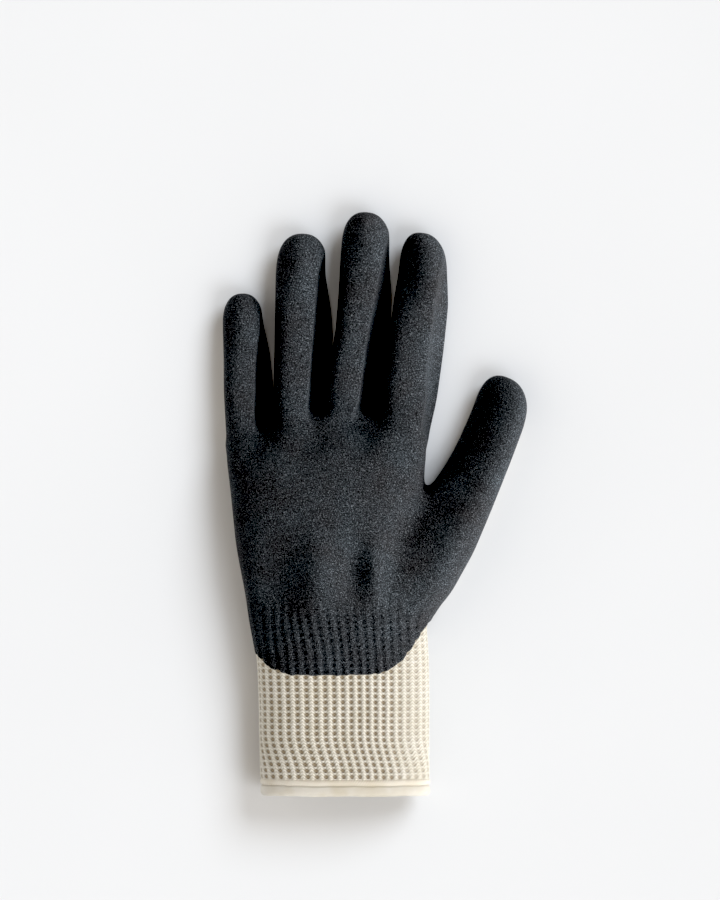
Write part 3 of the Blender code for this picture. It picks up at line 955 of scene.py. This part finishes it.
def elastic_material():
    """Covered elastic yarn, wound with a fine spiral."""
    finish = Finish("elastic yarn", roughness=0.7, specular=0.3, sheen=0.1)
    place = finish.add("ShaderNodeTexCoord").outputs["Object"]
    winding = finish.math("MULTIPLY", finish.split(place)[0], 1800.0)
    colour = finish.stops(wave(finish, winding), [(0.0, (0.6, 0.56, 0.47)), (1.0, (0.85, 0.82, 0.74))])
    return finish.done(colour, finish.bump(finish.noise(place, 2500.0), 0.05))


def floor_material():
    """Matt and pale, with the faintest mottle."""
    finish = Finish("pale table", roughness=0.9, specular=0.1)
    place = finish.add("ShaderNodeTexCoord").outputs["Object"]
    colour = finish.stops(finish.noise(place, 6.0), [(0.2, (0.69, 0.69, 0.69)), (0.8, (0.71, 0.71, 0.71))])
    return finish.done(colour)


# ---------------------------------------------------------------- pieces

GLOVE, YARN, TABLE = (bpy.data.collections.new(name) for name in ("glove", "yarn", "table"))
for group in (GLOVE, YARN, TABLE):
    bpy.context.scene.collection.children.link(group)


def make_piece(name, skin, material, slot, replaced):
    """A Blender object from a skin."""
    mesh = bpy.data.meshes.new(name)
    count = len(skin.quads)
    mesh.vertices.add(len(skin.points))
    mesh.vertices.foreach_set("co", (skin.points * MM).astype(np.float32).ravel())
    mesh.loops.add(4 * count)
    mesh.loops.foreach_set("vertex_index", skin.quads.astype(np.int32).ravel())
    mesh.polygons.add(count)
    mesh.polygons.foreach_set("loop_start", np.arange(0, 4 * count, 4, dtype=np.int32))
    mesh.update(calc_edges=True)
    mesh.shade_smooth()
    mesh.normals_split_custom_set_from_vertices(skin.normals.astype(np.float32))
    for key, kind, field, values in (
        ("rest", "FLOAT_VECTOR", "vector", skin.points),
        ("weave", "FLOAT_VECTOR", "vector", skin.weave),
        ("pit", "FLOAT", "value", skin.pit),
    ):
        mesh.attributes.new(key, kind, "POINT").data.foreach_set(field, values.astype(np.float32).ravel())
    mesh.materials.append(material)
    piece = bpy.data.objects.new(name, mesh)
    GLOVE.objects.link(piece)
    if slot != "coating":
        YARN.objects.link(piece)
    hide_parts(replaced)
    return piece


def bend_section(piece, stall, index):
    """Works out the span round the joint at the start of a stall piece's section, and bakes the piece's
    transform into its mesh.
    """
    section = stall.sections[index]
    place = stall.knuckle(section)
    if index == 0:
        start, end = place - BASE_BEND[stall.name][0], place + BASE_BEND[stall.name][1]
    else:
        reach = KNUCKLE_BEND[stall.name][index - 1]
        start, end = place - reach, place + reach
    stall.world(start)
    stall.world(end)
    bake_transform(piece)


def bend_wrist(piece):
    """Bakes a piece's transform into its mesh."""
    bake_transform(piece)


def make_stalls(skin, suffix, material, slot):
    """The pieces of a skin that belong to the stalls. The rest of it is given back."""
    regions = region_of(skin.centres())
    for number, stall in enumerate(STALLS):
        for index, section in enumerate(stall.sections):
            part = skin.cut(regions == 10 * (number + 1) + index)
            node = f"{stall.name}_{section}_{suffix}"
            piece = make_piece(f"{stall.name}_{section}_{suffix}_skin", part, material, slot, node)
            bend_section(piece, stall, index)
    return skin.cut(regions == 0)


def make_glove():
    coating, knit, rib = coating_material(), knit_material(), rib_material()
    palm = make_stalls(coat_skin(), "coating", coating, "coating")
    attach(make_piece("palm_coating_skin", palm, coating, "coating", "palm_coating"), "palm")

    lining = lining_skin()
    in_cuff = lining.centres()[:, 1] < LINING_END
    body = make_stalls(joined([knit_skin(), lining.cut(~in_cuff)]), "liner", knit, "knit")
    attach(make_piece("hand_knit", body, knit, "knit", "hand_liner"), "palm")
    bend_wrist(make_piece("cuff_ribbing", rib_skin(), rib, "knit", "rib_cuff"))
    bend_wrist(make_piece("cuff_lining", lining.cut(in_cuff), knit, "knit", "rib_cuff"))

    tape = tape_material("hem tape", (0.745, 0.71, 0.645), (0.62, 0.585, 0.51), 0.62)
    thread = tape_material("overlock thread", (0.80, 0.76, 0.68), (0.50, 0.45, 0.37), 1.3)
    hem = strip_skin([
        (HEM_END + 4.0, -1.9), (HEM_END + 2.4, -1.9), (HEM_END + 0.9, -1.5), (HEM_END + 0.1, -0.7),
        (HEM_END - 0.1, 0.0), (HEM_END + 0.4, 0.7), (HEM_END + 1.4, 1.1), (HEM_END + 2.6, 1.1),
        (TAPE_TOP - 0.5, 0.85), (TAPE_TOP - 0.05, 0.3), (TAPE_TOP + 0.1, -0.3),
    ])
    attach(make_piece("hem_tape_fold", hem, tape, "tape", "hem_tape"), "cuff")
    seam = strip_skin([
        (TAPE_TOP - 0.1, -0.2), (TAPE_TOP + 0.15, 0.6), (TAPE_TOP + 0.8, 1.05), (TAPE_TOP + 1.7, 1.15),
        (THREAD_TOP - 0.5, 1.0), (THREAD_TOP, 0.5), (THREAD_TOP + 0.1, -0.3),
    ])
    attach(make_piece("overlock_seam", seam, thread, "thread", "overlock_thread"), "cuff")

    elastic = frame["nodes"]["elastic_yarn"]
    elastic.data.materials.clear()
    elastic.data.materials.append(elastic_material())
    GLOVE.objects.link(elastic)


# ---------------------------------------------------------------- studio


VIEW_CENTRE = (-6.22, 22.86, 15.0)      # the point that the camera looks straight down on
VIEW_HEIGHT = 385.9                     # of the table in the picture, at that point
VIEW_DISTANCE = 2000.0
SENSOR = 36
TABLE_REACH = 3.0                       # metres from the middle to an edge

# Lights: direction, width in degrees, strength.
KEY = ((0.89, -0.26, 0.37), 40, 4.5)
YARN_FILL = ((-0.6, 0.0, 0.75), 60, 1.2)
TABLE_LIGHTS = [((0.5, 0.5, 0.62), 32, 2.09), ((0.5, -0.42, 0.75), 32, 0.9)]
TABLE_FILLS = [(math.radians(180 + 45 * turn), 60, 0.36) for turn in range(5)]
FILL_HEIGHT = 0.6                       # of the fills' directions, over a circle of radius 1
COOL = (0.926, 1.0, 1.097)
WARM = (1.08, 1.0, 0.9)
WORLD_COLOUR = (1, 0.95, 0.89, 1)
WORLD_STRENGTH = 0.4
BLACK_LEVEL = 0.033                     # the photographed shadows go to pure black


def add_floor():
    mesh = bpy.data.meshes.new("table")
    corners = [(-1, -1), (1, -1), (1, 1), (-1, 1)]
    mesh.from_pydata([(TABLE_REACH * x, TABLE_REACH * y, 0) for x, y in corners], [], [(0, 1, 2, 3)])
    mesh.materials.append(floor_material())
    floor = bpy.data.objects.new("table", mesh)
    TABLE.objects.link(floor)


def add_light(name, direction, spread, strength, lit, colour=(1, 1, 1)):
    """A soft light on a collection, as even as a distant softbox. spread is its width in degrees."""
    lamp = bpy.data.lights.new(name, "SUN")
    lamp.color = colour
    lamp.angle = math.radians(spread)
    lamp.energy = strength
    light = bpy.data.objects.new(name, lamp)
    light.location = np.array(direction) / np.linalg.norm(direction)
    light.rotation_mode = "QUATERNION"
    light.rotation_quaternion = light.location.to_track_quat("Z", "Y")
    light.light_linking.receiver_collection = lit
    bpy.context.scene.collection.objects.link(light)


def add_lights():
    """A key on the whole glove, a fill on its yarn, and lights of their own for the table's shadows."""
    add_light("key", *KEY, GLOVE)
    add_light("yarn fill", *YARN_FILL, YARN)
    for light in TABLE_LIGHTS:
        add_light("table light", *light, TABLE, COOL)
    for angle, spread, strength in TABLE_FILLS:
        direction = (math.cos(angle), math.sin(angle), FILL_HEIGHT)
        add_light("table fill", direction, spread, strength, TABLE, WARM)


def add_camera():
    """A camera straight above the glove, as in the photograph."""
    camera = bpy.data.objects.new("camera", bpy.data.cameras.new("camera"))
    bpy.context.scene.collection.objects.link(camera)
    x, y, z = VIEW_CENTRE
    camera.data.sensor_width = SENSOR
    camera.data.lens = SENSOR * VIEW_DISTANCE / VIEW_HEIGHT
    camera.data.clip_end = 10 * VIEW_DISTANCE * MM
    camera.location = (x * MM, y * MM, (z + VIEW_DISTANCE) * MM)
    bpy.context.scene.camera = camera


def set_world():
    """The room's even light, and the picture's black level."""
    world = bpy.data.worlds.new("studio")
    world.use_nodes = True
    background = world.node_tree.nodes["Background"]
    background.inputs["Color"].default_value = WORLD_COLOUR
    background.inputs["Strength"].default_value = WORLD_STRENGTH
    bpy.context.scene.world = world
    settings = bpy.context.scene.view_settings
    settings.view_transform = "Standard"
    settings.use_curve_mapping = True
    settings.curve_mapping.black_level = (BLACK_LEVEL,) * 3


make_glove()
add_floor()
add_camera()
add_lights()
set_world()
